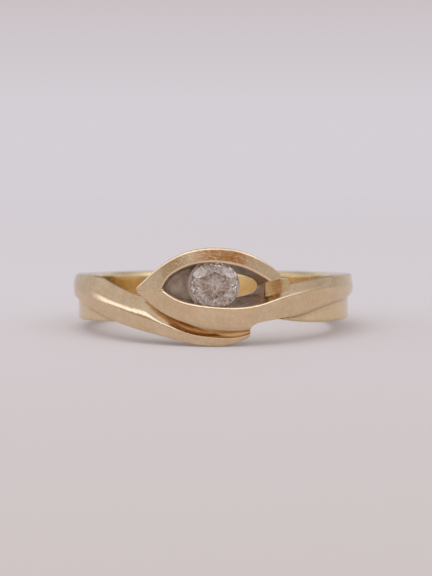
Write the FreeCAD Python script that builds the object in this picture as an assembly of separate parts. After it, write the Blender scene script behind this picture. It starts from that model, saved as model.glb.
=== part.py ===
import FreeCAD, Part
import math
import os

# Crossover ring with an almond shaped eye that holds one round diamond.
# Millimetres. The origin is the centre of the finger hole, +Z is the axis of
# the hole and -Y points at the eye. Angles are degrees round the finger:
# 0 is the middle of the eye, positive turns towards +X, 180 is the back.

Vector = FreeCAD.Vector

# Finger hole and plain band. The comfort sizes give the lean that eases the
# upper inner edge of the band.
BORE_R = 8.6
BAND_R = 10.09
BAND_HALF = 1.62
BAND_COMFORT = 0.42
BAND_OUTER_ROUND = 0.22
COMFORT_TOP = 0.2
COMFORT_LOW = 0.03
COMFORT_DEPTH = 0.35
COMFORT_ROUND = 0.12
TAIL = 118.0
TONGUE_LAP = 0.2
RIGHT_TONGUE_END = 29.5
LEFT_TONGUE_END = -37.0

# Everything on the finger side is drawn to this radius and then bored out
INSIDE_R = 8.5

# Strands
EDGE_ROUND = 0.07
LID_EDGE_ROUND = 0.03
LID_BEVEL = 0.15
LID_BEVEL_SLANT = 0.38
HEAD_LEFT = -29.7
LID_IN_R = 9.0
LID_CHAMFER_Z = 0.12
LID_CHAMFER_R = 0.045
GROOVE_RISE = 0.13
GROOVE_LEDGE = 0.45
BEVEL_SLANT = 0.7

# Mitre of the two lids at the left corner of the eye
MITRE_Z = 0.75
MITRE_GAP = 0.06
MITRE_BEAD = 0.14
MITRE_BEAD_R = 10.92
MITRE_BEAD_TURN = -18.9

# Vertical end shared by the tip and the lower lid, and its hollow
NOTCH_X = 2.56
NOTCH_Z = -2.03
NOTCH_END = (5.3, -1.15)

# Right end of the upper lid: a straight cut rising to the right, then a short
# upright end
LID_END_X = 3.97
LID_END_Z = 1.36
LID_END_SLOPE = 0.233
LID_TIP_X = 4.66

# Stone
STONE_D = 3.4
STONE_X = 0.12
STONE_Y = -10.9
STONE_Z = 1.12
TABLE = 0.54
CROWN_ANGLE = 33.0
PAVILION_ANGLE = 40.8
GIRDLE = 0.08

# Seat
SEAT_BOTTOM_R = 9.4
SEAT_RIGHT = 21.2
COLLAR_WALL = 0.15

# Base plate behind the eye
BLOCK_END = 30.3


def at(r, deg, z):
    a = math.radians(deg)
    return Vector(r * math.sin(a), -r * math.cos(a), z)


def track(*knots):
    """Smooth function of the angle through (angle, value) knots."""
    count = len(knots)
    steps = []
    for i in range(count - 1):
        run = knots[i + 1][0] - knots[i][0]
        steps.append((knots[i + 1][1] - knots[i][1]) / run)
    slopes = [steps[0]]
    for i in range(1, count - 1):
        before = knots[i][0] - knots[i - 1][0]
        after = knots[i + 1][0] - knots[i][0]
        slopes.append((steps[i - 1] * after + steps[i] * before) / (before + after))
    slopes.append(steps[-1])

    def value(deg):
        if deg <= knots[0][0]:
            return knots[0][1]
        if deg >= knots[-1][0]:
            return knots[-1][1]
        i = 0
        while deg > knots[i + 1][0]:
            i += 1
        run = knots[i + 1][0] - knots[i][0]
        t = (deg - knots[i][0]) / run
        a = knots[i][1]
        b = knots[i + 1][1]
        rise = b - a
        c = slopes[i] * run - rise
        d = rise - slopes[i + 1] * run
        return a + rise * t + t * (1 - t) * (c * (1 - t) + d * t)

    return value


def outline(deg, corners):
    """Control points of one section, in the half plane at one angle. Each
    corner is (radius, z, rounding). A corner with rounding gives the three
    control points of its small curve, a sharp corner gives one point."""
    points = [at(r, deg, z) for r, z, rounding in corners]
    count = len(points)
    groups = []
    for i in range(count):
        here = points[i]
        rounding = corners[i][2]
        if rounding > 0:
            before = points[i - 1] - here
            after = points[(i + 1) % count] - here
            back = min(rounding, before.Length * 0.45)
            ahead = min(rounding, after.Length * 0.45)
            start = here + before.normalize() * back
            end = here + after.normalize() * ahead
            groups.append([start, here, end])
        else:
            groups.append([here])
    return groups


def section(deg, corners):
    """Closed wire in the half plane at one angle."""
    groups = outline(deg, corners)
    edges = []
    for i in range(len(groups)):
        if len(groups[i]) == 3:
            bend = Part.BezierCurve()
            bend.setPoles(groups[i])
            edges.append(bend.toShape())
        following = groups[(i + 1) % len(groups)]
        edges.append(Part.LineSegment(groups[i][-1], following[0]).toShape())
    return Part.Wire(edges)


def skin(rails, angles, degree):
    """Surface whose control rows are smooth curves run through the rails."""
    rows = []
    for rail in rails:
        curve = Part.BSplineCurve()
        curve.interpolate(Points=rail, Parameters=[float(deg) for deg in angles])
        rows.append(curve)
    surface = Part.BSplineSurface()
    surface.buildFromPolesMultsKnots(
        [row.getPoles() for row in rows], [degree + 1, degree + 1],
        rows[0].getMultiplicities(), [0.0, 1.0], rows[0].getKnots(), False, False,
        degree, rows[0].Degree)
    return surface.toShape()


def strand(angles, corners_at):
    """Solid through the sections at the given angles."""
    stations = [outline(deg, corners_at(deg)) for deg in angles]
    faces = []
    count = len(stations[0])
    for i in range(count):
        here = [station[i] for station in stations]
        following = [station[(i + 1) % count] for station in stations]
        if len(here[0]) == 3:
            bend = [[group[k] for group in here] for k in range(3)]
            faces.append(skin(bend, angles, 2))
        side = [[group[-1] for group in here], [group[0] for group in following]]
        faces.append(skin(side, angles, 1))
    for deg in (angles[0], angles[-1]):
        faces.append(Part.Face(section(deg, corners_at(deg))))
    sheet = Part.Compound(faces)
    sheet.sewShape(0.0001)
    shell = sheet.Shells[0]
    if Part.makeSolid(shell).Volume < 0:
        shell.reverse()
    return Part.makeSolid(shell)


def prism(points, y_front=-13.0, y_back=-6.5):
    """Straight block along Y with the outline given as (x, z) points."""
    loop = [Vector(x, y_front, z) for x, z in points]
    face = Part.Face(Part.makePolygon(loop + [loop[0]]))
    return face.extrude(Vector(0, y_back - y_front, 0))


def box(x0, x1, y0, y1, z0, z1):
    return Part.makeBox(x1 - x0, y1 - y0, z1 - z0, Vector(x0, y0, z0))


def sector(corners, start, sweep):
    """Ring sector: a rounded section turned about the finger axis."""
    face = Part.Face(section(start, corners))
    return face.revolve(Vector(0, 0, 0), Vector(0, 0, 1), sweep)


def one_solid(shape):
    """The largest solid of a result."""
    solids = sorted(shape.Solids, key=lambda s: s.Volume)
    return solids[-1]


# ---------------------------------------------------------------- left arm
# Leaves the top of the left shoulder, runs down under the eye and ends in
# the rounded tip. Corners: lower edge, ridge, ledge, upper edge. Beside the
# shoulder the ledge lies in line with the ridge and the upper edge. Beneath
# the lower lid it sinks into a groove.
left_low_z = track(
    (-118, 0.62), (-95, 0.42), (-80, 0.05), (-67, -0.32), (-60, -0.62), (-53, -0.98),
    (-47, -1.31), (-41, -1.61), (-30, -2.08), (-21, -2.42), (-13, -2.78), (-5.6, -3.05),
    (0.6, -3.14), (4.5, -3.08), (8.5, -2.91), (11.8, -2.68), (14.5, -2.3), (17, -1.95))
left_low_r = track(
    (-118, 10.09), (-100, 10.34), (-85, 10.44), (-67, 10.45), (-53, 10.43), (-41, 10.45),
    (-30, 10.56), (-15, 10.72), (0, 10.78), (17, 10.76))
left_ridge_z = track(
    (-118, 1.15), (-90, 0.95), (-70, 0.58), (-58, 0.26), (-50, -0.04), (-42, -0.36),
    (-34, -0.76), (-26, -1.17), (-14, -1.93), (-8, -2.29), (0, -2.5), (5, -2.55), (9.5, -2.49),
    (13, -2.3), (17, -1.9))
left_ridge_r = track(
    (-118, 10.1), (-100, 10.38), (-85, 10.49), (-67, 10.52), (-51, 10.58), (-41, 10.68),
    (-30, 10.81), (-15, 10.93), (0, 10.98), (17, 10.96))
left_top_z = track(
    (-118, 1.62), (-90, 1.66), (-72, 1.7), (-60, 1.7), (-54.8, 1.62), (-50.5, 1.37),
    (-46.6, 1.15), (-40.3, 0.78), (-36.7, 0.57), (-32.1, 0.34), (-27.5, 0.26), (-24, -0.02),
    (-20, -0.5), (-15.3, -0.95), (-10.5, -1.27), (-5.4, -1.56), (0.6, -1.76), (5, -1.86),
    (9.5, -1.84), (17, -1.6))
left_top_r = track(
    (-118, 10.06), (-100, 10.24), (-85, 10.27), (-75, 10.18), (-67, 10.04), (-60, 9.94),
    (-52, 9.88), (-46, 9.91), (-40, 9.97), (-31, 10.02), (-24, 10.08), (-20, 10.14), (-16, 10.16),
    (-11, 10.1), (0, 10.05), (17, 10.05))
left_sink = track((-118, 0), (-30, 0), (-26, 0), (-22, 0), (-18, 0.2), (-12, 0.95), (-9, 1),
                  (-4, 1), (17, 1))
left_lift = track((-118, 0), (-50, 0), (-40, 0.08), (-25, 0.25), (0, 0.3), (17, 0.3))
left_in_r = track((-118, INSIDE_R), (-45, INSIDE_R), (-30, INSIDE_R), (-18, 8.58),
                  (0, 8.85), (17, 8.9))
left_drop = track((-118, 0), (-85, 0), (-76, 0.06), (-66, 0.5), (-57, 1.0), (-48, 1.1),
                  (-38, 0.9), (-30, 0.6), (-22, 0.1), (-15, 0), (17, 0))
left_comfort = track((-118, 1), (-90, 1), (-78, 0.9), (-64, 0.2), (-54, 0), (-44, 0), (17, 0))
left_ledge_share = track((-118, 0.5), (-45, 0.5), (-36, 0.6), (-27, 0.75), (-20, 0.6), (-14, 0.5),
                         (17, 0.5))
left_edge_round = track((-118, 0.1), (-98, 0.12), (-60, 0.12), (-32, 0.14), (-18, 0.1),
                        (-8, 0.07), (17, EDGE_ROUND))
left_ridge_round = track((-118, 0.5), (-65, 0.4), (-50, 0.3), (-40, 0.3), (-33, 0.4), (-27, 0.44),
                         (-24, 0.3), (-21, 0.17), (-15, 0.12), (-5, 0.14), (17, 0.14))
left_top_round = track((-118, 0.3), (-66, 0.24), (-54, 0.16), (-44, 0.12), (17, 0.1))
LEFT_ANGLES = (-118, -108, -98, -88, -78, -68, -60, -54, -48, -42, -36, -31, -26,
               -21, -16, -11, -6, -1, 4, 8, 12, 16)


def inside_top(inner, bottom, top, comfort):
    """Two corners of the finger side: the upper edge, which leans away from
    the finger by the comfort share, and the foot of that lean."""
    depth = COMFORT_DEPTH * min(1, top - bottom)
    return [(inner + (BORE_R - INSIDE_R + COMFORT_TOP) * comfort, top, COMFORT_ROUND),
            (inner + COMFORT_LOW * comfort, top - depth, 0)]


def left_corners(deg):
    low = left_low_z(deg)
    top = left_top_z(deg)
    inner = left_in_r(deg)
    ridge_r = left_ridge_r(deg)
    ridge_z = left_ridge_z(deg)
    top_r = left_top_r(deg)
    sink = left_sink(deg)
    share = left_ledge_share(deg)
    flank_r = ridge_r + share * (top_r - ridge_r)
    flank_z = ridge_z + share * (top - ridge_z)
    ledge_r = (1 - sink) * flank_r + sink * (top_r + GROOVE_LEDGE)
    ledge_z = (1 - sink) * flank_z + sink * (ridge_z + GROOVE_RISE)
    bottom = low + left_lift(deg)
    return [
        (inner, bottom, 0),
        (left_low_r(deg), low, left_edge_round(deg)),
        (ridge_r, ridge_z, left_ridge_round(deg)),
        (ledge_r, ledge_z, 0.12),
        (top_r, top, left_top_round(deg)),
        *inside_top(inner, bottom, top - left_drop(deg), left_comfort(deg))]


# ------------------------------------------------- right arm and lower lid
# Leaves the top of the right shoulder, runs down to the left and becomes the
# lower lid of the eye. The ridge is the inner edge of the lid.
lower_out_z = track(
    (HEAD_LEFT, 0.56), (-26.9, 0.17), (-23.9, -0.25), (-20.1, -0.72), (-15.3, -1.16),
    (-10.5, -1.49), (-5.4, -1.78), (0.6, -1.98), (4.9, -2.06), (9.5, -2.06), (14, -2.0),
    (19, -1.8), (24, -1.5), (29, -1.23), (33, -1.13), (38.9, -0.96), (43, -0.8),
    (47.8, -0.6), (54.6, -0.36), (60, -0.22), (67, -0.08), (76, 0.06), (90, 0.28),
    (104, 0.48), (118, 0.62))
lower_out_r = track(
    (HEAD_LEFT, 10.8), (-18, 10.88), (0, 10.97), (13, 10.97), (22, 10.86), (30, 10.64),
    (40, 10.46), (55, 10.4), (75, 10.42), (90, 10.4), (104, 10.28), (118, 10.09))
lower_ridge_z = track(
    (HEAD_LEFT, 2.55), (-24, 1.65), (-21, 1.13), (-18.5, 0.75), (-15.8, 0.4), (-12.6, 0.09),
    (-9.5, -0.09), (-5.4, -0.24), (0.6, -0.37), (7.8, -0.43), (11.9, -0.38),
    (16.1, -0.25), (19.4, -0.09), (22.5, 0.09), (27.8, 0.36), (34.9, 0.57), (45, 0.86),
    (60, 1.05), (90, 1.12), (118, 1.15))
lower_ridge_r = track(
    (HEAD_LEFT, 10.9), (-18.5, 11.05), (-8, 11.2), (4, 11.27), (15, 11.25), (24, 11.1),
    (32, 10.9), (42, 10.7), (55, 10.56), (75, 10.51), (90, 10.48), (104, 10.34),
    (118, 10.1))
lower_top_r = track(
    (HEAD_LEFT, 9.6), (15, 9.6), (20, 9.75), (24, 10.05), (28, 10.22), (34, 10.22),
    (42, 10.1), (50, 10.1), (60, 10.2), (75, 10.3), (90, 10.34), (104, 10.26), (118, 10.06))
right_top_z = track(
    (18, 0), (21, 0.25), (24, 0.58), (28, 0.98), (31, 1.15), (37.8, 1.31), (42.2, 1.42),
    (46.7, 1.53), (51.6, 1.64), (60, 1.7), (72, 1.7), (90, 1.66), (118, 1.62))
right_drop = track((HEAD_LEFT, 0), (14, 0), (22, 0.05), (30, 0.4), (38, 0.75), (48, 1.0),
                   (57, 0.9), (66, 0.45), (76, 0.06), (85, 0), (118, 0))
right_comfort = track((HEAD_LEFT, 0), (44, 0), (54, 0), (64, 0.2), (78, 0.9), (90, 1), (118, 1))
right_ridge_round = track(
    (HEAD_LEFT, LID_EDGE_ROUND), (8, LID_EDGE_ROUND), (16, LID_EDGE_ROUND), (26, 0.05),
    (38, 0.08), (48, 0.14), (62, 0.34), (80, 0.36), (118, 0.36))
right_ridge_bevel = track(
    (HEAD_LEFT, LID_BEVEL), (8, LID_BEVEL), (16, LID_BEVEL), (28, 0.14), (45, 0.17), (60, 0.26),
    (118, 0.26))
right_top_round = track(
    (HEAD_LEFT, 0.06), (20, 0.06), (44, 0.12), (54, 0.16), (66, 0.24), (118, 0.3))
lower_bevel = track(
    (HEAD_LEFT, 0.05), (-22, 0.08), (-10, 0.17), (0, 0.27), (11, 0.27), (16, 0.2), (22, 0.09),
    (28, 0.1), (36, 0.15), (60, 0.16), (95, 0.15), (118, 0.08))
RIGHT_ANGLES = (HEAD_LEFT, -26.5, -24, -21.5, -19, -16.5, -14, -11, -7, -3, 1, 5, 9, 13, 16,
                19, 22, 25, 28, 31, 35, 40, 46, 52, 58, 66, 76, 87, 98, 108, 118)


def lower_top_z(deg):
    wall = lower_ridge_z(deg) + 0.03
    if deg <= 18:
        return wall
    return max(wall, right_top_z(deg))


def right_corners(deg):
    low = lower_out_z(deg)
    top = lower_top_z(deg)
    inner = INSIDE_R
    out_r = lower_out_r(deg)
    bevel = lower_bevel(deg)
    ridge_r = lower_ridge_r(deg)
    ridge_z = lower_ridge_z(deg)
    ridge_bevel = right_ridge_bevel(deg)
    rounding = right_ridge_round(deg)
    return [
        (inner, low, 0),
        (out_r - BEVEL_SLANT * bevel, low, 0),
        (out_r, low + bevel, 0),
        (ridge_r, ridge_z - ridge_bevel, rounding),
        (ridge_r - LID_BEVEL_SLANT * ridge_bevel, ridge_z, rounding),
        (lower_top_r(deg), top, right_top_round(deg)),
        *inside_top(inner, low, top - right_drop(deg), right_comfort(deg))]


# --------------------------------------------------------------- upper lid
upper_out_z = track(
    (HEAD_LEFT, 0.92), (-26.3, 1.44), (-20.2, 2.36), (-15, 2.98), (-9.5, 3.43), (-4.4, 3.64),
    (0.6, 3.69), (7.8, 3.56), (12, 3.35), (16.2, 3.01), (20.5, 2.55), (24.7, 1.97),
    (28.4, 1.42))
upper_in_z = track(
    (HEAD_LEFT, -2.3), (-24, -0.8), (-21, 0.2), (-19.2, 0.8), (-18.1, 1.2), (-16.3, 1.64),
    (-13.5, 2.03), (-9.4, 2.41), (-5.3, 2.61), (0.6, 2.67), (5.6, 2.57), (10.8, 2.33),
    (14.9, 2.0), (18.1, 1.66), (20.8, 1.36), (24, 0.95), (28.4, 0.4))
upper_in_r = track(
    (HEAD_LEFT, 10.9), (-18.5, 11.05), (-8, 11.22), (2, 11.28), (12, 11.22), (20, 11.08),
    (28.4, 10.93))
upper_out_r = track(
    (HEAD_LEFT, 10.86), (-18.5, 10.93), (-8, 11.05), (2, 11.1), (12, 11.05), (20, 10.96),
    (28.4, 10.86))
UPPER_ANGLES = (HEAD_LEFT, -26.5, -24, -21.5, -19.5, -17.5, -15.5, -13, -10, -6, -2, 2, 6,
                10, 14, 18, 21, 24, 26.5, 28.4)


def upper_corners(deg):
    out_z = upper_out_z(deg)
    in_z = upper_in_z(deg)
    out_r = upper_out_r(deg)
    return [
        (LID_IN_R, in_z - 0.03, 0),
        (upper_in_r(deg) - LID_BEVEL_SLANT * LID_BEVEL, in_z, LID_EDGE_ROUND),
        (upper_in_r(deg), in_z + LID_BEVEL, LID_EDGE_ROUND),
        (out_r, out_z - LID_CHAMFER_Z, LID_EDGE_ROUND),
        (out_r - LID_CHAMFER_R, out_z, 0.05),
        (LID_IN_R, out_z - 0.12, 0.25)]


# ------------------------------------------------------------------ stone
def brilliant():
    """Round brilliant of 57 facets and a sixteen sided girdle, table
    facing -Y."""
    radius = STONE_D / 2
    table_r = radius * TABLE
    crown_h = (radius - table_r) * math.tan(math.radians(CROWN_ANGLE))
    pavilion_h = radius * math.tan(math.radians(PAVILION_ANGLE))
    half = math.radians(22.5)

    def point(r, turn, height):
        a = turn * half
        return Vector(STONE_X + r * math.cos(a), STONE_Y - height,
                      STONE_Z + r * math.sin(a))

    top = GIRDLE / 2
    star_r = 0.5 * (table_r * math.cos(half) + radius)
    star_h = top + crown_h * (radius - star_r * math.cos(half)) / (radius - table_r)
    half_r = 0.24 * radius
    half_h = -top - pavilion_h * (radius - half_r * math.cos(half)) / radius
    culet = point(0, 0, -top - pavilion_h)
    table = [point(table_r, 2 * k, top + crown_h) for k in range(8)]
    star = [point(star_r, 2 * k + 1, star_h) for k in range(8)]
    upper = [point(radius, j, top) for j in range(16)]
    lower = [point(radius, j, -top) for j in range(16)]
    halves = [point(half_r, 2 * k + 1, half_h) for k in range(8)]
    loops = [table]
    for k in range(8):
        n = (k + 1) % 8
        main = 2 * k
        odd = 2 * k + 1
        even = (2 * k + 2) % 16
        loops.append([table[k], star[k], upper[main], star[k - 1]])
        loops.append([table[k], table[n], star[k]])
        loops.append([star[k], upper[main], upper[odd]])
        loops.append([star[k], upper[odd], upper[even]])
        loops.append([culet, halves[k], lower[main], halves[k - 1]])
        loops.append([halves[k], lower[main], lower[odd]])
        loops.append([halves[k], lower[odd], lower[even]])
    for j in range(16):
        n = (j + 1) % 16
        loops.append([upper[j], upper[n], lower[n], lower[j]])
    faces = [Part.Face(Part.makePolygon(loop + [loop[0]])) for loop in loops]
    shell = Part.makeShell(faces)
    if Part.makeSolid(shell).Volume < 0:
        shell.reverse()
    return Part.makeSolid(shell)


# ---------------------------------------------------------- seat and base
seat_floor_r = track(
    (-19.5, 10.6), (-16, 10.42), (-11, 10.25), (-7, 10.0), (-3, 9.76), (0, 9.68), (6, 9.61),
    (14, 9.6), (17, 9.62), (19, 9.72), (20, 9.84), (SEAT_RIGHT, 10.02))
seat_wall_slope = track((-19, 0.1), (-12, 0.14), (-6, 0.25), (0, 0.4), (SEAT_RIGHT, 0.45))
seat_top_r = track((-19, 10.95), (12, 10.95), (16.5, 10.95), (18.2, 10.9), (19.3, 10.7),
                   (20.4, 10.36), (SEAT_RIGHT, 10.08))
SEAT_ANGLES = (-18.9, -18, -16.5, -15, -12.5, -10, -6, -2, 2, 6, 10, 13, 15.5, 17.2, 18.4,
               19.4, 20.3, SEAT_RIGHT)


def seat_corners(deg):
    """Trough between the lids: two leaning walls and a floor."""
    low = lower_ridge_z(deg)
    high = upper_in_z(deg)
    slope = seat_wall_slope(deg)
    gap = max(high - low - 0.06, 0.04)
    top_r = seat_top_r(deg)
    floor = max(seat_floor_r(deg), top_r - (gap - 0.02) / (2 * slope))
    middle = (low + high) / 2
    half_floor = gap / 2 - slope * (top_r - floor)
    return [(SEAT_BOTTOM_R, low - 0.12, 0), (top_r, low - 0.12, 0),
            (top_r, middle - gap / 2, 0), (floor, middle - half_floor, 0),
            (floor, middle + half_floor, 0), (top_r, middle + gap / 2, 0),
            (top_r, high + 0.12, 0), (SEAT_BOTTOM_R, high + 0.12, 0)]


base_top_r = track(
    (-22, SEAT_BOTTOM_R), (8, SEAT_BOTTOM_R), (15, 9.41), (17.5, 9.43), (19, 9.56), (20, 9.74),
    (21, 9.97), (22, 10.13), (24, 10.32), (26, 10.46), (28, 10.5), (BLOCK_END, 10.5))
base_low_z = track(
    (-22, 0.6), (-18, 0.45), (-12, -0.1), (0, -0.55), (10, -0.6), (18, -0.45), (22, -0.25),
    (25, 0), (BLOCK_END, 0.35))
base_lean = track(
    (-22, 0.02), (8, 0.02), (19, 0.02), (21, 0.04), (22.6, 0.12), (24, 0.2), (26, 0.2),
    (BLOCK_END, 0.12))
base_high_z = track(
    (-22, 1.1), (-18, 1.4), (-14, 2.1), (-9.4, 2.6), (0, 2.85), (10.8, 2.5), (16, 2.05),
    (20, 1.62), (23, 1.52), (BLOCK_END, 1.53))
BASE_ANGLES = (-22, -18, -14, -10, -5, 0, 5, 10, 14, 17, 19, 21, 22.6, 24, 26, BLOCK_END)


def base_corners(deg):
    low = base_low_z(deg)
    high = base_high_z(deg)
    crest = base_top_r(deg)
    return [(INSIDE_R, low, 0), (crest + base_lean(deg), low, 0), (crest, high, 0.05),
            (INSIDE_R, high, 0.12)]


def window():
    """Opening through the seat and the base, from behind the stone to the
    right, where it shows beside the stone."""
    loop = [(-0.75, 1.1), (-0.2, 1.72), (0.7, 1.95), (1.7, 1.86), (2.35, 1.68),
            (2.9, 1.38), (3.08, 1.02), (2.9, 0.66), (2.35, 0.38), (1.7, 0.25),
            (0.7, 0.2), (-0.2, 0.45)]
    curve = Part.BSplineCurve()
    curve.interpolate([Vector(x, -12, z) for x, z in loop], PeriodicFlag=True)
    face = Part.Face(Part.Wire(curve.toShape()))
    return face.extrude(Vector(0, 5, 0))


def collar(stone):
    """Low wall of the seat round the left edge of the stone."""
    outer_r = STONE_D / 2 + COLLAR_WALL
    axis = Vector(0, 1, 0)
    outer = Part.makeCylinder(outer_r, 1.1, Vector(STONE_X, -10.72, STONE_Z), axis)
    inner = Part.makeCylinder(outer_r - 0.3, 1.2, Vector(STONE_X, -10.77, STONE_Z), axis)
    wall = outer.cut(inner)
    keep = box(-3, STONE_X - 0.95, -11.5, -9, -2, 4)
    return wall.common(keep).cut(stone)


# ----------------------------------------------------------------- solder
groove_reach = track((-26.5, 0.26), (-4, 0.28), (4, 0.38), (9, 0.54), (13.9, 0.62))
groove_lean = track((-26.5, -0.06), (-8, -0.06), (-2, 0), (4, 0.12), (13.9, 0.14))
groove_depth = track((-26.5, 0.12), (-8, 0.12), (-2, 0.24), (4, 0.42), (9, 0.46), (13.9, 0.46))


def groove_corners(deg):
    """Fillet of solder at the foot of the lower lid's outer wall. It fills
    more of the groove towards the tip."""
    z = lower_out_z(deg)
    r = left_top_r(deg)
    reach = groove_reach(deg)
    foot = z - groove_depth(deg)
    return [(r - 0.2, z + 0.06, 0), (r - 0.2, foot - 0.2, 0),
            (r + reach + groove_lean(deg), foot, 0), (r + reach, z + 0.06, 0)]


def shoulder_solder(angle):
    """Butt joint between the tail of an arm and the plain band."""
    corners = [(BORE_R, 0.62, 0), (BAND_R, 0.62, 0), (BAND_R - 0.01, BAND_HALF, 0.2),
               (BORE_R + COMFORT_TOP, BAND_HALF, COMFORT_ROUND),
               (BORE_R, BAND_HALF - COMFORT_DEPTH, 0)]
    return sector(corners, angle, 0.35)


def band_corners():
    return [(BORE_R, -BAND_HALF, BAND_COMFORT), (BAND_R, -BAND_HALF, BAND_OUTER_ROUND),
            (BAND_R, BAND_HALF, BAND_OUTER_ROUND),
            (BORE_R + COMFORT_TOP, BAND_HALF, COMFORT_ROUND),
            (BORE_R, BAND_HALF - COMFORT_DEPTH, 0)]


right_tongue_z = track(
    (RIGHT_TONGUE_END, -1.36), (35.3, -1.52), (44, -1.64), (54.6, -1.68), (75, -1.67),
    (95, -BAND_HALF), (118, -BAND_HALF))
left_tongue_z = track(
    (-118, -BAND_HALF), (-98, -BAND_HALF), (-84, -1.68), (-66, -1.68), (-48, -BAND_HALF),
    (LEFT_TONGUE_END, -BAND_HALF))


def tongue_corners(bottom, seam):
    """Lower half of the band beside an arm, lapped into the arm."""
    inner = INSIDE_R - 0.05
    return [(inner, bottom, BAND_COMFORT), (BAND_R, bottom, BAND_OUTER_ROUND),
            (BAND_R, seam + TONGUE_LAP, 0), (inner, seam + TONGUE_LAP, 0)]


def build():
    stone = brilliant()

    left_raw = strand(LEFT_ANGLES, left_corners)
    lower_raw = strand(RIGHT_ANGLES, right_corners)
    upper_raw = strand(UPPER_ANGLES, upper_corners)

    hollow = Part.BezierCurve()
    hollow.setPoles([Vector(NOTCH_X, -13, NOTCH_Z), Vector(2.62, -13, -1.62),
                     Vector(3.1, -13, -1.47), Vector(3.75, -13, -1.39)])
    notch_edges = [
        hollow.toShape(),
        Part.LineSegment(Vector(3.75, -13, -1.39),
                         Vector(NOTCH_END[0], -13, NOTCH_END[1])).toShape(),
        Part.LineSegment(Vector(NOTCH_END[0], -13, NOTCH_END[1]),
                         Vector(NOTCH_END[0], -13, -4)).toShape(),
        Part.LineSegment(Vector(NOTCH_END[0], -13, -4), Vector(NOTCH_X, -13, -4)).toShape(),
        Part.LineSegment(Vector(NOTCH_X, -13, -4), Vector(NOTCH_X, -13, NOTCH_Z)).toShape()]
    notch = Part.Face(Part.Wire(notch_edges)).extrude(Vector(0, 6.5, 0))

    above_mitre = box(-8, -3, -13, -6, MITRE_Z - MITRE_GAP / 2, 5)
    below_mitre = box(-8, -3, -13, -6, -5, MITRE_Z + MITRE_GAP / 2)
    left_x = 3.4
    left_z = LID_END_Z + (left_x - LID_END_X) * LID_END_SLOPE
    right_z = LID_END_Z + (LID_TIP_X - LID_END_X) * LID_END_SLOPE
    lid_end = prism([(left_x, left_z), (LID_TIP_X, right_z), (LID_TIP_X + 0.05, 3),
                     (6, 3), (6, -1), (left_x, -1)])

    finger = Part.makeCylinder(BORE_R, 12, Vector(0, 0, -6))
    right_arm = lower_raw.cut(finger).cut(notch).cut(above_mitre).cut(stone)
    right_arm = one_solid(right_arm)
    upper_lid = one_solid(upper_raw.cut(below_mitre).cut(lid_end).cut(stone))
    left_arm = one_solid(left_raw.cut(finger).cut(notch).cut(right_arm))

    mitre_box = box(-8, -3, -13, -6, MITRE_Z - MITRE_GAP / 2, MITRE_Z + MITRE_GAP / 2)
    bead = Part.makeSphere(MITRE_BEAD, at(MITRE_BEAD_R, MITRE_BEAD_TURN, MITRE_Z))
    mitre = upper_raw.common(mitre_box).fuse(bead.cut([right_arm, upper_lid]))
    mitre = one_solid(mitre)

    back = sector(band_corners(), TAIL, 360 - 2 * TAIL)
    right_angles = (RIGHT_TONGUE_END, 34, 40, 47, 55, 65, 76, 87, 98, 108, TAIL)
    right_tongue = strand(
        right_angles, lambda deg: tongue_corners(right_tongue_z(deg), lower_out_z(deg)))
    left_angles = (-TAIL, -108, -98, -88, -76, -65, -55, -47, -42, LEFT_TONGUE_END)
    left_tongue = strand(
        left_angles, lambda deg: tongue_corners(left_tongue_z(deg), left_low_z(deg)))
    left_joint = shoulder_solder(-TAIL - 0.35)
    right_joint = shoulder_solder(TAIL)
    shank = back.fuse([right_tongue, left_tongue]).cut(finger)
    shank = one_solid(shank.cut([right_arm, left_arm, left_joint, right_joint]))

    eye = window()
    seat = strand(SEAT_ANGLES, seat_corners).fuse(collar(stone))
    seat = seat.cut([eye, right_arm, upper_lid, mitre, stone])
    seat = one_solid(seat)
    base = strand(BASE_ANGLES, base_corners).cut(finger)
    base = one_solid(base.cut([eye, right_arm, upper_lid, left_arm, mitre, seat, shank]))

    groove_angles = (-26.5, -22, -17, -12, -7, -2, 3, 8, 11, 13.9)
    groove = strand(groove_angles, groove_corners)
    groove = one_solid(groove.cut([right_arm, left_arm, notch]))

    return {
        "shank": shank,
        "left_arm": left_arm,
        "right_arm": right_arm,
        "upper_lid": upper_lid,
        "base_plate": base,
        "stone_seat": seat,
        "diamond": stone,
        "mitre_solder": mitre,
        "groove_solder": groove,
        "left_shoulder_solder": left_joint,
        "right_shoulder_solder": right_joint}


os.makedirs("parts", exist_ok=True)
for name, shape in build().items():
    shape.exportStep("parts/" + name + ".step")
    print(name, round(shape.Volume, 4), shape.isValid(), len(shape.Faces))
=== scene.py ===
import math

import bpy
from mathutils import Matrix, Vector

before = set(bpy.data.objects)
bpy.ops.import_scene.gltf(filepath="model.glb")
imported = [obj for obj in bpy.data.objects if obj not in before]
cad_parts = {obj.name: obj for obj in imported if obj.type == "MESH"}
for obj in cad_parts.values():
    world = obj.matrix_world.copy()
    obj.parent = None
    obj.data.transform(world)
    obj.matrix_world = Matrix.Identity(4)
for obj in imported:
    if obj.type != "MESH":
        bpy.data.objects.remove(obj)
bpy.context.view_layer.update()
MM = 0.001

# ---------------------------------------------------------------- camera
# The ring lies on its side, seen from the front at nearly its own level.
# The focus is on the front of the head, so the back of the band is soft.
CAMERA_DISTANCE = 130 * MM
CAMERA_ELEVATION = math.radians(2.2)
LENS = 107.98
SENSOR_WIDTH = 36
SHIFT = (0.0047, 0.0125)
FOCUS_DISTANCE = 119.5 * MM
F_STOP = 60

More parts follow.
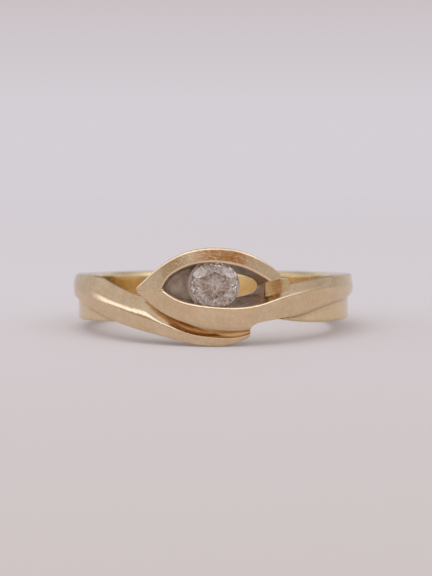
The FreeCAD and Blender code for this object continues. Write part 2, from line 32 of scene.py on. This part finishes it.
camera_data = bpy.data.cameras.new("camera")
camera_data.lens = LENS
camera_data.sensor_width = SENSOR_WIDTH
camera_data.shift_x = SHIFT[0]
camera_data.shift_y = SHIFT[1]
camera_data.clip_start = 0.001
camera_data.clip_end = 10
camera = bpy.data.objects.new("camera", camera_data)
bpy.context.scene.collection.objects.link(camera)
camera.location = (0, -CAMERA_DISTANCE * math.cos(CAMERA_ELEVATION),
                   CAMERA_DISTANCE * math.sin(CAMERA_ELEVATION))
camera.rotation_euler = (math.pi / 2 - CAMERA_ELEVATION, 0, 0)
camera_data.dof.use_dof = True
camera_data.dof.focus_distance = FOCUS_DISTANCE
camera_data.dof.aperture_fstop = F_STOP
bpy.context.scene.camera = camera


# ------------------------------------------------------------- node helpers
class Nodes:
    """Short calls for building one node tree."""

    def __init__(self, tree):
        self.tree = tree

    def add(self, kind, inputs=None, **settings):
        node = self.tree.nodes.new(kind)
        for key, value in settings.items():
            setattr(node, key, value)
        for key, value in (inputs or {}).items():
            self.put(node.inputs[key], value)
        return node

    def put(self, socket, value):
        if isinstance(value, bpy.types.NodeSocket):
            self.tree.links.new(value, socket)
        else:
            socket.default_value = value

    def math(self, operation, a, b=0.0):
        node = self.add("ShaderNodeMath", operation=operation)
        self.put(node.inputs[0], a)
        self.put(node.inputs[1], b)
        return node.outputs[0]

    def vector(self, operation, a, b=(0, 0, 0)):
        node = self.add("ShaderNodeVectorMath", {0: a, 1: b}, operation=operation)
        return node.outputs["Value" if operation == "LENGTH" else "Vector"]

    def mix(self, factor, a, b, blend="MIX"):
        """From colour a to colour b. Each is a socket or a plain colour."""
        node = self.add("ShaderNodeMix", data_type="RGBA", blend_type=blend)
        self.put(node.inputs[0], factor)
        for slot, colour in ((6, a), (7, b)):
            plain = not isinstance(colour, bpy.types.NodeSocket)
            self.put(node.inputs[slot], (*colour, 1) if plain else colour)
        return node.outputs[2]

    def span(self, value, low, high, to_low=0.0, to_high=1.0):
        node = self.add("ShaderNodeMapRange", clamp=True)
        for i, v in enumerate((value, low, high, to_low, to_high)):
            self.put(node.inputs[i], v)
        return node.outputs[0]

    def place(self, stretch=(1, 1, 1), turn=(0, 0, 0)):
        """Position in millimetres, stretched and turned."""
        where = self.add("ShaderNodeTexCoord").outputs["Object"]
        node = self.add("ShaderNodeMapping", {"Vector": where, "Rotation": turn})
        node.inputs["Scale"].default_value = [s / MM for s in stretch]
        return node.outputs[0]

    def parts(self, vector):
        """The X, Y and Z sockets of a vector."""
        return self.add("ShaderNodeSeparateXYZ", {"Vector": vector}).outputs

    def noise(self, vector, scale, detail=3.0, rough=0.55):
        node = self.add("ShaderNodeTexNoise", {
            "Vector": vector, "Scale": scale, "Detail": detail, "Roughness": rough})
        return node.outputs["Fac"]


def new_material(name):
    material = bpy.data.materials.new(name)
    material.use_nodes = True
    tree = material.node_tree
    tree.nodes.clear()
    build = Nodes(tree)
    shader = build.add("ShaderNodeBsdfPrincipled")
    output = build.add("ShaderNodeOutputMaterial")
    tree.links.new(shader.outputs[0], output.inputs[0])
    return material, build, shader


# --------------------------------------------------------------- materials
YELLOW = (0.75, 0.56, 0.345)
YELLOW_WORN = (0.78, 0.61, 0.41)
# The wall of the finger hole is painted lighter than the outside gold, for the light it
# catches there: painted light.
LIT_HOLE_WALL = (0.92, 0.74, 0.43)
LIT_HOLE_EDGE = (8.85, 9.0)
STAIN = (0.68, 0.46, 0.21)

# Painted shade: the colour of metal is multiplied darker in a hollow, found by
# ambient occlusion. The reach of a hollow is in millimetres, and airy is
# (openness where the shade is full, openness where it ends).
HOLLOW_SHADE = (0.58, 0.45, 0.30)
SEAM_SHADE = (0.10, 0.06, 0.03)
ARM_SHADE = (0.94, 0.85, 0.72)

SCRATCH_DARK = 0.72
SCRATCH_SHARE = 0.28
SCRATCH_ROUGH = 0.12
SCRATCH_DEPTH = 0.12
PATCH_SCALE = 0.55
PATCH_HEIGHT = 1.1
FINE_SCALE = 5.0
FINE_HEIGHT = 0.1
FINE_ROUGH = (-0.05, 0.08)
MOTTLE_SCALE = 3.2
MOTTLE_SHADES = (0.93, 1.04)
PIT_SCALE = 7.0
EDGE_SOFT = 0.045 * MM
BUMP_HEIGHT = 0.03 * MM
BUMP_STRENGTH = 0.35


def scratches(n, turn):
    """Hairlines in two directions, 1 on a line."""
    along = n.noise(n.place((1.2, 1.2, 14), turn), 2.2, 3.0, 0.7)
    crossing = n.noise(n.place((9, 1.0, 1.5), (0.5, 0.4, 0.9)), 2.0, 3.0, 0.7)
    return n.math("MAXIMUM", n.span(along, 0.56, 0.66), n.span(crossing, 0.6, 0.68))


def gold(name, colour, worn, rough=0.13, turn=(0, 0, 0.3), scratch=0.5, pits=0.0, stain=None,
         lit_inside=None, painted_shade=HOLLOW_SHADE, reach=0.35, airy=(0.35, 0.85)):
    """Worn polished gold: colour patches, a fine mottle, hairline scratches,
    painted shade in the hollows, soft waviness left by polishing, and small pits.
    The colour given for the wall of the finger hole is lighter than the outside:
    painted light. A stain (full, none) gives the X, in millimetres, where it is full and
    where it ends."""
    material, n, shader = new_material(name)
    where = n.place()
    patches = n.noise(where, PATCH_SCALE, 4.0, 0.6)
    fine = n.noise(where, FINE_SCALE, 4.0, 0.6)
    lines = scratches(n, turn)
    tone = n.mix(n.span(patches, 0.38, 0.66), colour, worn)
    tone = n.mix(n.math("MULTIPLY", lines, SCRATCH_SHARE), tone,
                 [c * SCRATCH_DARK for c in colour])
    mottle = n.span(n.noise(where, MOTTLE_SCALE, 5.0, 0.75), 0.4, 0.62, *MOTTLE_SHADES)
    grey = n.add("ShaderNodeCombineXYZ", {"X": mottle, "Y": mottle, "Z": mottle}).outputs[0]
    tone = n.mix(1.0, tone, grey, "MULTIPLY")
    # Painted shade: ambient occlusion darkens the colour in hollows, seams and under
    # overhangs.
    hollow = n.add("ShaderNodeAmbientOcclusion", {"Distance": reach * MM}, samples=8)
    open_air = n.span(hollow.outputs["AO"], *airy)
    tone = n.mix(open_air, n.mix(1.0, tone, painted_shade, "MULTIPLY"), tone)
    # The wall of the finger hole takes a lighter colour here: painted light.
    if lit_inside:
        radius = n.vector("LENGTH", n.vector("MULTIPLY", where, (1, 1, 0)))
        tone = n.mix(n.span(radius, *LIT_HOLE_EDGE), lit_inside, tone)
    if stain:
        across = n.math("ADD", n.parts(where)["X"], n.math("MULTIPLY", fine, 0.5))
        tone = n.mix(n.span(across, *stain), STAIN, tone)
    n.put(shader.inputs["Base Color"], tone)
    shader.inputs["Metallic"].default_value = 1.0
    n.put(shader.inputs["Roughness"], n.math(
        "ADD", n.span(fine, 0.3, 0.7, rough + FINE_ROUGH[0], rough + FINE_ROUGH[1]),
        n.math("MULTIPLY", lines, SCRATCH_ROUGH * scratch)))
    height = n.math("ADD", n.math("MULTIPLY", patches, PATCH_HEIGHT),
                    n.math("MULTIPLY", lines, -SCRATCH_DEPTH * scratch))
    height = n.math("ADD", height, n.math("MULTIPLY", fine, FINE_HEIGHT))
    if pits > 0:
        pit = n.span(n.noise(where, PIT_SCALE, 2.0, 0.5), 0.64, 0.72)
        height = n.math("ADD", height, n.math("MULTIPLY", pit, -pits))
    edge = n.add("ShaderNodeBevel", {"Radius": EDGE_SOFT}, samples=4)
    bump = n.add("ShaderNodeBump", {
        "Height": height, "Strength": BUMP_STRENGTH, "Distance": BUMP_HEIGHT,
        "Normal": edge.outputs[0]})
    n.put(shader.inputs["Normal"], bump.outputs[0])
    return material


# The axis of the stone runs along Y through this point. Here and in the
# materials of the seat and the stone, distances are in millimetres.
STONE_AXIS = (0.12, 0, 1.12)


def from_axis(n, where):
    """Distance from the axis of the stone, in millimetres."""
    offset = n.vector("SUBTRACT", where, STONE_AXIS)
    return n.vector("LENGTH", n.vector("MULTIPLY", offset, (1, 0, 1)))


def rays(n, where, count):
    """Rays turned evenly about the axis of the stone, 1 on a ray and -1
    between two rays."""
    side = n.parts(n.vector("SUBTRACT", where, STONE_AXIS))
    angle = n.math("ARCTAN2", side["Z"], side["X"])
    return n.math("COSINE", n.math("MULTIPLY", angle, count))


WHITE_GOLD = (0.49, 0.41, 0.33)
WHITE_GOLD_STAINED = (0.33, 0.235, 0.18)
WHITE_GOLD_SPOT = (0.26, 0.21, 0.10)
WHITE_GOLD_SOAKED = (0.54, 0.31, 0.18)
WHITE_GOLD_RIM = (0.66, 0.56, 0.48)
RIM_EDGE = (1.98, 1.88)
SOAKED_X = (2.6, 4.0)
SOAKED_MOST = 0.85
GRAIN_SCALE = 6.0
STAIN_SCALE = 1.6
SPOT_SCALE = 3.4
GRAIN_HEIGHT = 0.05 * MM
GRAIN_STRENGTH = 0.8
SEAT_METALLIC = 0.6


def rough_white_gold():
    """Unpolished white gold: grey and grainy with brown patches and spots,
    soaked brown towards the right corner of the eye, brighter on the rim
    round the stone."""
    material, n, shader = new_material("white_gold")
    where = n.place()
    grain = n.noise(where, GRAIN_SCALE, 5.0, 0.7)
    stain = n.noise(where, STAIN_SCALE, 4.0, 0.6)
    spots = n.span(n.noise(where, SPOT_SCALE, 3.0, 0.6), 0.58, 0.68)
    tone = n.mix(n.span(stain, 0.35, 0.65), WHITE_GOLD, WHITE_GOLD_STAINED)
    tone = n.mix(n.math("MULTIPLY", spots, 0.75), tone, WHITE_GOLD_SPOT)
    soaked = n.math("ADD", n.parts(where)["X"], n.span(stain, 0.3, 0.7, -0.7, 0.7))
    tone = n.mix(n.span(soaked, *SOAKED_X, 0.0, SOAKED_MOST), tone, WHITE_GOLD_SOAKED)
    rim = n.span(from_axis(n, where), *RIM_EDGE)
    tone = n.mix(n.math("MULTIPLY", rim, 0.6), tone, WHITE_GOLD_RIM)
    n.put(shader.inputs["Base Color"], tone)
    shader.inputs["Metallic"].default_value = SEAT_METALLIC
    n.put(shader.inputs["Roughness"], n.span(grain, 0.3, 0.7, 0.3, 0.6))
    bump = n.add("ShaderNodeBump", {
        "Height": grain, "Strength": GRAIN_STRENGTH, "Distance": GRAIN_HEIGHT})
    n.put(shader.inputs["Normal"], bump.outputs[0])
    return material


HEART_HIGHLIGHT = (1.0, 0.90, 0.86)
TABLE_REFLECTION = (0.57, 0.38, 0.305)
RAY_REFLECTION = (0.26, 0.16, 0.12)
CROWN = (0.70, 0.64, 0.54)
INCLUSION = (0.12, 0.08, 0.06)
SURFACE_GLINT = (0.86, 0.79, 0.72)
HEART_EDGE = (0.3, 0.6)
TABLE_EDGE = (0.9, 1.0)
RAY_START = (0.35, 0.5)
RAY_COUNT = 16.0
RAY_SHARE = 0.6
SPECK_SCALE = 5.5
SPECK_RING = 0.86
SPECK_RING_WIDTH = (0.08, 0.2)
SPECK_GIRDLE = (1.35, 1.55)
SPECK_RARE = 0.35
DUST_SCALE = 3.0
DUST_ROUGH = 0.06
SPARKLE_SCALE = 4.0
SPARKLE_TILT = 0.16
DIAMOND_IOR = 2.42
DIAMOND_CLEAR = 0.95


def clear_stone():
    """Lightly tinted diamond. The table carries a painted reflection: rosy brown
    with a painted highlight at its heart and faint dark painted rays. The crown
    is greyer, and small dark inclusions gather at the edge of the table and near
    the girdle. Small patches of the surface are tilted at random, which breaks
    the reflections into fine sparkle."""
    material, n, shader = new_material("diamond")
    where = n.place()
    away = from_axis(n, where)
    on_table = n.span(away, *TABLE_EDGE, 1.0, 0.0)
    # Painted reflection on the table: a bright heart over rosy brown, with faint dark rays.
    table = n.mix(n.span(away, *HEART_EDGE), HEART_HIGHLIGHT, TABLE_REFLECTION)
    ray = n.math("MULTIPLY", n.span(rays(n, where, RAY_COUNT), 0.3, 0.9),
                 n.span(away, *RAY_START))
    table = n.mix(n.math("MULTIPLY", ray, RAY_SHARE), table, RAY_REFLECTION)
    tint_and_reflection = n.mix(on_table, CROWN, table)
    specks = n.span(n.noise(where, SPECK_SCALE, 3.0, 0.65), 0.5, 0.57)
    from_ring = n.math("ABSOLUTE", n.math("SUBTRACT", away, SPECK_RING))
    peppered = n.math("MAXIMUM", n.span(from_ring, *SPECK_RING_WIDTH, 1.0, 0.0),
                      n.span(away, *SPECK_GIRDLE, 0.0, 0.8))
    specks = n.math("MULTIPLY", specks, n.span(peppered, 0, 1, SPECK_RARE, 1.0))
    n.put(shader.inputs["Base Color"], n.mix(specks, tint_and_reflection, INCLUSION))
    dust = n.span(n.noise(where, DUST_SCALE, 3.0, 0.6), 0.5, 0.75)
    n.put(shader.inputs["Roughness"], n.math("MULTIPLY", dust, DUST_ROUGH))
    shader.inputs["Specular Tint"].default_value = (*SURFACE_GLINT, 1)
    cells = n.add("ShaderNodeTexVoronoi", {"Vector": where, "Scale": SPARKLE_SCALE})
    tilt = n.vector("SUBTRACT", cells.outputs["Color"], (0.5, 0.5, 0.5))
    tilt = n.vector("MULTIPLY", tilt, (SPARKLE_TILT, SPARKLE_TILT, SPARKLE_TILT))
    facing = n.add("ShaderNodeNewGeometry").outputs["Normal"]
    n.put(shader.inputs["Normal"], n.vector("NORMALIZE", n.vector("ADD", facing, tilt)))
    shader.inputs["IOR"].default_value = DIAMOND_IOR
    shader.inputs["Transmission Weight"].default_value = DIAMOND_CLEAR
    return material


look = {
    "shank": gold("gold_shank", (0.77, 0.58, 0.33), (0.80, 0.63, 0.40), 0.15,
                  lit_inside=LIT_HOLE_WALL, painted_shade=SEAM_SHADE, reach=0.5, airy=(0.45, 0.92)),
    "left_arm": gold("gold_left_arm", YELLOW, YELLOW_WORN, turn=(0, 0.35, 0.2),
                     lit_inside=LIT_HOLE_WALL, painted_shade=ARM_SHADE),
    "right_arm": gold("gold_right_arm", YELLOW, YELLOW_WORN, turn=(0, -0.25, 0.2),
                      lit_inside=LIT_HOLE_WALL),
    "upper_lid": gold("gold_upper_lid", YELLOW, YELLOW_WORN, turn=(0, 0.1, 0.1),
                      scratch=0.8, pits=0.3),
    "base_plate": gold("gold_base_plate", (0.68, 0.50, 0.27), (0.76, 0.58, 0.34), 0.22,
                       turn=(0, 0, 0), scratch=1.0, stain=(4.0, 5.0)),
    "stone_seat": rough_white_gold(),
    "diamond": clear_stone(),
    "mitre_solder": gold("solder_mitre", (0.80, 0.64, 0.40), (0.76, 0.58, 0.34), 0.14),
    "groove_solder": gold("solder_groove", (0.85, 0.70, 0.50), (0.62, 0.44, 0.25), 0.4,
                          stain=(0.5, -1.0)),
    "left_shoulder_solder": gold("solder_left", (0.77, 0.6, 0.38), YELLOW_WORN, 0.18),
    "right_shoulder_solder": gold("solder_right", (0.77, 0.6, 0.38), YELLOW_WORN, 0.18)}
for name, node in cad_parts.items():
    node.data.materials.clear()
    node.data.materials.append(look[name])

# ------------------------------------------------------------------- floor
# The ring rests on the tip in front and on the edge of the band behind, so
# in its own frame the floor slopes down towards the front.
FLOOR_FRONT = Vector((0, -10.75, -3.165)) * MM
FLOOR_BACK = Vector((0, 9.8, -1.62)) * MM
FLOOR_REACH = 1.6
slope = math.atan2(FLOOR_BACK.z - FLOOR_FRONT.z, FLOOR_BACK.y - FLOOR_FRONT.y)


def floor_point(x, along):
    return (x, FLOOR_FRONT.y + along * math.cos(slope),
            FLOOR_FRONT.z + along * math.sin(slope))


corners = [floor_point(x, along) for x, along in (
    (-FLOOR_REACH, -FLOOR_REACH), (FLOOR_REACH, -FLOOR_REACH),
    (FLOOR_REACH, FLOOR_REACH), (-FLOOR_REACH, FLOOR_REACH))]
floor_mesh = bpy.data.meshes.new("floor")
floor_mesh.from_pydata(corners, [], [(0, 1, 2, 3)])
floor = bpy.data.objects.new("floor", floor_mesh)
bpy.context.scene.collection.objects.link(floor)

# Paper near the ring takes shadow, yet a share of it glows there as well,
# which is painted light that lightens the shadow. Farther off it fades into
# the even glow of the backdrop, so no horizon line shows. Only in reflections
# is the glow made stronger in front than behind and stronger to the right,
# and strongest where the metal mirrors the paper in front of the ring
# steeply: a painted reflection.
PAPER_FRONT = (0.695, 0.628, 0.603)
PAPER_BACK = (0.735, 0.695, 0.70)
PAPER_FIBRE = (0.5, 0.46, 0.45)
NEAR_GLOW = (0.60, 0.55, 0.54)
FAR_GLOW = (0.662, 0.628, 0.665)
PAPER_DEPTH = (-70 * MM, 30 * MM)
GLOW_REACH = (30 * MM, 200 * MM)
NEAR_SHARE = 0.2
MIRROR_DEPTH = (0.3, 1.0, 1.15, 0.88)
MIRROR_SIDE = (-10 * MM, 20 * MM, 1.04, 1.16)
MIRROR_STEEP = 1.9
STEEP = (0.45, 0.6)
STEEP_FRONT = (-13.5 * MM, -15.5 * MM)
FIBRE_SHARE = 0.05
PAPER_ROUGH = 0.9
PAPER_SHINE = 0.1


def paper():
    material, n, shader = new_material("floor_paper")
    geometry = n.add("ShaderNodeNewGeometry").outputs
    spot = n.parts(geometry["Position"])
    distance = n.vector("LENGTH", geometry["Position"])
    depth = n.span(spot["Y"], *PAPER_DEPTH)
    fibres = n.noise(n.place(), 0.5, 5.0, 0.6)
    tone = n.mix(depth, PAPER_FRONT, PAPER_BACK)
    tone = n.mix(n.math("MULTIPLY", fibres, FIBRE_SHARE), tone, PAPER_FIBRE)
    n.put(shader.inputs["Base Color"], tone)
    shader.inputs["Roughness"].default_value = PAPER_ROUGH
    shader.inputs["Specular IOR Level"].default_value = PAPER_SHINE
    mirrored = n.add("ShaderNodeLightPath").outputs["Is Glossy Ray"]
    steep = n.math("MULTIPLY", n.span(n.parts(geometry["Incoming"])["Z"], *STEEP),
                   n.span(spot["Y"], *STEEP_FRONT))
    # Glossy rays see the glow made stronger here: a painted reflection.
    mirror_boost = n.math("MULTIPLY", n.span(depth, *MIRROR_DEPTH),
                   n.span(steep, 0, 1, 1.0, MIRROR_STEEP))
    mirror_boost = n.math("MULTIPLY", mirror_boost, n.span(spot["X"], *MIRROR_SIDE))
    glow = n.add("ShaderNodeEmission", {
        "Color": n.mix(depth, NEAR_GLOW, FAR_GLOW),
        "Strength": n.span(mirrored, 0, 1, 1.0, mirror_boost)})
    # Near the ring a share of the paper glows too, a painted light that lightens its shadow.
    share = n.span(distance, *GLOW_REACH, NEAR_SHARE, 1.0)
    mixed = n.add("ShaderNodeMixShader", {"Fac": share})
    n.put(mixed.inputs[1], shader.outputs[0])
    n.put(mixed.inputs[2], glow.outputs[0])
    tree = material.node_tree
    output = [node for node in tree.nodes if node.type == "OUTPUT_MATERIAL"][0]
    n.put(output.inputs[0], mixed.outputs[0])
    return material


floor.data.materials.append(paper())

# ------------------------------------------------------------------ studio
# What the metal mirrors, given by direction: the height above level and the
# turn from the camera towards +X, both in degrees. A pale tent surrounds the
# ring. A dim band of room lies low in front and at the sides, fainter to
# the right. A wide soft lamp hangs above it and comes lower at the left.
# High up behind, the room is dark. The warm dark shape of the person stands
# behind the camera. The camera itself sees only the backdrop.
TENT_FRONT = (0.67, 0.645, 0.665)
TENT_BACK = (0.60, 0.585, 0.62)
ROOM = (0.40, 0.345, 0.30)
LAMP = (1.55, 1.6, 1.8)
PERSON = (0.37, 0.18, 0.06)
DARK_ROOM = (0.26, 0.24, 0.23)
BACKDROP_TOP = (0.59, 0.53, 0.55)
BACKDROP_FADE = (4.0, 7.8)

# Middle, half width and soft margin, in degrees.
ROOM_HEIGHT = (15, 4, 9)
ROOM_TURN = (12, 105, 22)
PERSON_HEIGHT = (20, 6, 12)
PERSON_TURN = (9, 20, 22)
LAMP_HEIGHT = (37, 8, 5)
DARK_HEIGHT = (58, 20, 12)

# The turns where each thing starts to change and where the change is
# complete, with the two amounts where they are not 0 and 1.
LAMP_LEFT = (-114, -101)
LAMP_RIGHT = (100, 74)
LAMP_DROP = (-110, -50, 24, 0)
ROOM_STRENGTH = (-40, 40, 0.95, 0.5)

# The same along Y, from the camera side (-1) to the far side (1).
TENT_FADE = (-0.6, 0.6)
DARK_FADE = (0.25, 0.55)


def hump(n, value, middle, half, soft):
    """1 within half of the middle, falling to 0 over the soft margin."""
    away = n.math("ABSOLUTE", n.math("SUBTRACT", value, middle))
    edge = n.add("ShaderNodeMapRange", interpolation_type="SMOOTHSTEP", clamp=True)
    for i, v in enumerate((away, half, half + soft, 1.0, 0.0)):
        n.put(edge.inputs[i], v)
    return edge.outputs[0]


def studio():
    world = bpy.data.worlds.new("studio")
    bpy.context.scene.world = world
    world.use_nodes = True
    world.node_tree.nodes.clear()
    n = Nodes(world.node_tree)
    sky = n.parts(n.add("ShaderNodeTexCoord").outputs["Generated"])
    height = n.math("DEGREES", n.math("ARCSINE", sky["Z"]))
    turn = n.math("DEGREES", n.math(
        "ARCTAN2", sky["X"], n.math("MULTIPLY", sky["Y"], -1.0)))

    tone = n.mix(n.span(sky["Y"], *TENT_FADE), TENT_FRONT, TENT_BACK)
    room = n.math("MULTIPLY", hump(n, height, *ROOM_HEIGHT), hump(n, turn, *ROOM_TURN))
    room = n.math("MULTIPLY", room, n.span(turn, *ROOM_STRENGTH))
    tone = n.mix(room, tone, ROOM)
    behind = n.span(sky["Y"], *DARK_FADE)
    tone = n.mix(n.math("MULTIPLY", hump(n, height, *DARK_HEIGHT), behind), tone, DARK_ROOM)
    raised = n.math("ADD", height, n.span(turn, *LAMP_DROP))
    wide = n.math("MULTIPLY", n.span(turn, *LAMP_LEFT), n.span(turn, *LAMP_RIGHT))
    tone = n.mix(n.math("MULTIPLY", hump(n, raised, *LAMP_HEIGHT), wide), tone, LAMP)
    person = n.math("MULTIPLY", hump(n, height, *PERSON_HEIGHT), hump(n, turn, *PERSON_TURN))
    tone = n.mix(person, tone, PERSON)

    backdrop = n.mix(n.span(height, *BACKDROP_FADE), FAR_GLOW, BACKDROP_TOP)
    seen = n.add("ShaderNodeLightPath").outputs["Is Camera Ray"]
    light = n.add("ShaderNodeBackground", {
        "Color": n.mix(seen, tone, backdrop), "Strength": 1.0})
    n.put(n.add("ShaderNodeOutputWorld").inputs[0], light.outputs[0])


studio()

# A soft key light over the left front gives the floor its shadow. It is
# left out of reflections, where the lamp of the studio stands for it.
KEY_PLACE = (-60 * MM, -50 * MM, 300 * MM)
KEY_SIZE = 250 * MM
KEY_POWER = 0.25

key_data = bpy.data.lights.new("key", "AREA")
key_data.shape = "RECTANGLE"
key_data.size = KEY_SIZE
key_data.size_y = KEY_SIZE
key_data.energy = KEY_POWER
key = bpy.data.objects.new("key", key_data)
bpy.context.scene.collection.objects.link(key)
key.location = KEY_PLACE
key.rotation_euler = (-Vector(KEY_PLACE)).to_track_quat("-Z", "Y").to_euler()
key.visible_glossy = False

bpy.context.scene.view_settings.view_transform = "Standard"
bpy.context.scene.cycles.use_denoising = True
